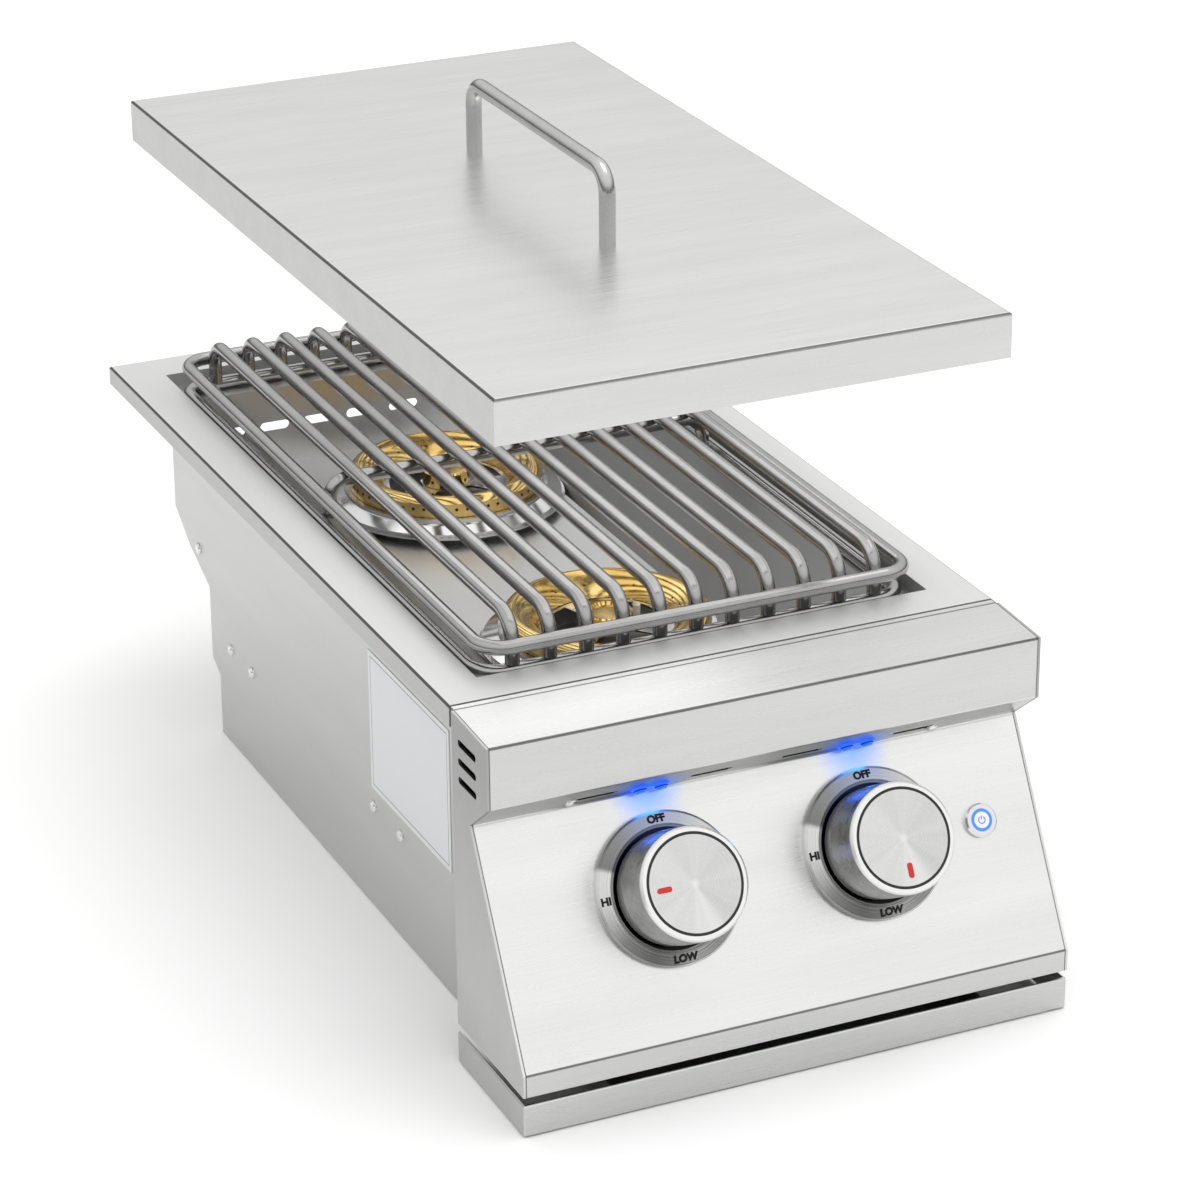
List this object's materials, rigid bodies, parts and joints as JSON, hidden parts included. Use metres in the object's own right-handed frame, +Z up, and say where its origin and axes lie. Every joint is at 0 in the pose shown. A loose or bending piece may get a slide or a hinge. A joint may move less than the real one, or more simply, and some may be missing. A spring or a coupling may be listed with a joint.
{
  "type": "built-in side burner",
  "caption": "Stainless built-in gas side burner with brass ring burners, a rod grate, a sloped control panel with dial knobs and a lift-off lid with a bar handle.",
  "frame": {"origin": "middle of the width, at the flange's front edge, on the ground under the base pan", "axes": "+X to the right seen from the front, +Y to the back, +Z up"},
  "size_m": [0.35, 0.7063, 0.476],
  "materials": {
    "brushed_steel": "satin",
    "liner_steel": "satin",
    "galvanised_steel": "satin",
    "rod_steel": "satin",
    "brass": "polished",
    "polished_steel": "polished",
    "casting": "matte",
    "tube_steel": "satin",
    "screw_steel": "satin",
    "knob_steel": "satin",
    "black_plastic": "matte",
    "pointer_red": "gloss",
    "lamp_blue": "gloss",
    "plate_silver": "satin",
    "ceramic": "gloss"
  },
  "bodies": {
    "housing": {"top_flange": "brushed_steel", "left_side_panel": "brushed_steel", "right_side_panel": "brushed_steel", "rear_panel": "galvanised_steel", "base_pan": "galvanised_steel", "front_bulkhead": "galvanised_steel", "firebox_liner": "liner_steel", "control_fascia": "brushed_steel", "left_cheek": "brushed_steel", "right_cheek": "brushed_steel", "tray_rails": "galvanised_steel", "front_burner_bowl": "polished_steel", "rear_burner_bowl": "polished_steel", "front_burner_base": "casting", "rear_burner_base": "casting", "front_mixer_tube": "tube_steel", "rear_mixer_tube": "tube_steel", "orifices": "brass", "gas_manifold": "tube_steel", "inlet_fitting": "brass", "left_valve": "casting", "right_valve": "casting", "igniter_electrodes": "ceramic", "igniter_module": "black_plastic", "left_bezel": "knob_steel", "right_bezel": "knob_steel", "lamp_housings": "black_plastic", "lamp_lenses": "lamp_blue", "button_ring": "polished_steel", "button_light": "lamp_blue", "button_switch": "black_plastic", "housing_screws": "screw_steel", "rating_plate": "plate_silver"},
    "grate": {"grate_top_loop": "rod_steel", "grate_lower_loop": "rod_steel", "grate_rods": "rod_steel", "grate_cross_rod": "rod_steel"},
    "lid": {"lid_shell": "brushed_steel", "lid_handle": "rod_steel", "lid_handle_screws": "screw_steel"},
    "front_ring": {"front_burner_ring": "brass"},
    "front_cap": {"front_burner_cap": "brass"},
    "rear_ring": {"rear_burner_ring": "brass"},
    "rear_cap": {"rear_burner_cap": "brass"},
    "left_push": {"left_push_collar": "screw_steel"},
    "left_knob": {"left_knob_shell": "knob_steel", "left_knob_inset": "black_plastic", "left_knob_face": "knob_steel", "left_knob_pointer": "pointer_red", "left_valve_stem": "brass"},
    "right_push": {"right_push_collar": "screw_steel"},
    "right_knob": {"right_knob_shell": "knob_steel", "right_knob_inset": "black_plastic", "right_knob_face": "knob_steel", "right_knob_pointer": "pointer_red", "right_valve_stem": "brass"},
    "button": {"button_cap": "knob_steel"},
    "tray": {"drip_tray": "galvanised_steel", "drip_tray_front": "brushed_steel"}
  },
  "joints": [
    {"name": "grate_lift", "type": "slide", "parent": "housing", "child": "grate", "axis": [0, 0, 1], "range_m": [0, 0.08]},
    {"name": "lid_lift", "type": "slide", "parent": "grate", "child": "lid", "axis": [-0.0403, -0.2882, 0.9567], "range_m": [-0.1735, 0.06]},
    {"name": "front_ring_lift", "type": "slide", "parent": "housing", "child": "front_ring", "axis": [0, 0, 1], "range_m": [0, 0.02]},
    {"name": "front_cap_lift", "type": "slide", "parent": "housing", "child": "front_cap", "axis": [0, 0, 1], "range_m": [0, 0.02]},
    {"name": "rear_ring_lift", "type": "slide", "parent": "housing", "child": "rear_ring", "axis": [0, 0, 1], "range_m": [0, 0.02]},
    {"name": "rear_cap_lift", "type": "slide", "parent": "housing", "child": "rear_cap", "axis": [0, 0, 1], "range_m": [0, 0.02]},
    {"name": "left_knob_push", "type": "slide", "parent": "housing", "child": "left_push", "axis": [0, 0.8696, -0.4937], "range_m": [0, 0.003], "stiffness_N_per_m": 800, "springref_m": -0.006},
    {"name": "left_knob_turn", "type": "hinge", "parent": "left_push", "child": "left_knob", "pos_m": [-0.066, -0.05724, 0.11316], "axis": [0, -0.8696, 0.4937], "range_deg": [-90, 90]},
    {"name": "right_knob_push", "type": "slide", "parent": "housing", "child": "right_push", "axis": [0, 0.8696, -0.4937], "range_m": [0, 0.003], "stiffness_N_per_m": 800, "springref_m": -0.006},
    {"name": "right_knob_turn", "type": "hinge", "parent": "right_push", "child": "right_knob", "pos_m": [0.066, -0.05724, 0.11316], "axis": [0, -0.8696, 0.4937], "range_deg": [-180, 0]},
    {"name": "button_push", "type": "slide", "parent": "housing", "child": "button", "axis": [0, 0.8696, -0.4937], "range_m": [0, 0.0015], "stiffness_N_per_m": 500, "springref_m": -0.004},
    {"name": "tray_pull", "type": "slide", "parent": "housing", "child": "tray", "axis": [0, -1, 0], "range_m": [0, 0.3]}
  ]
}
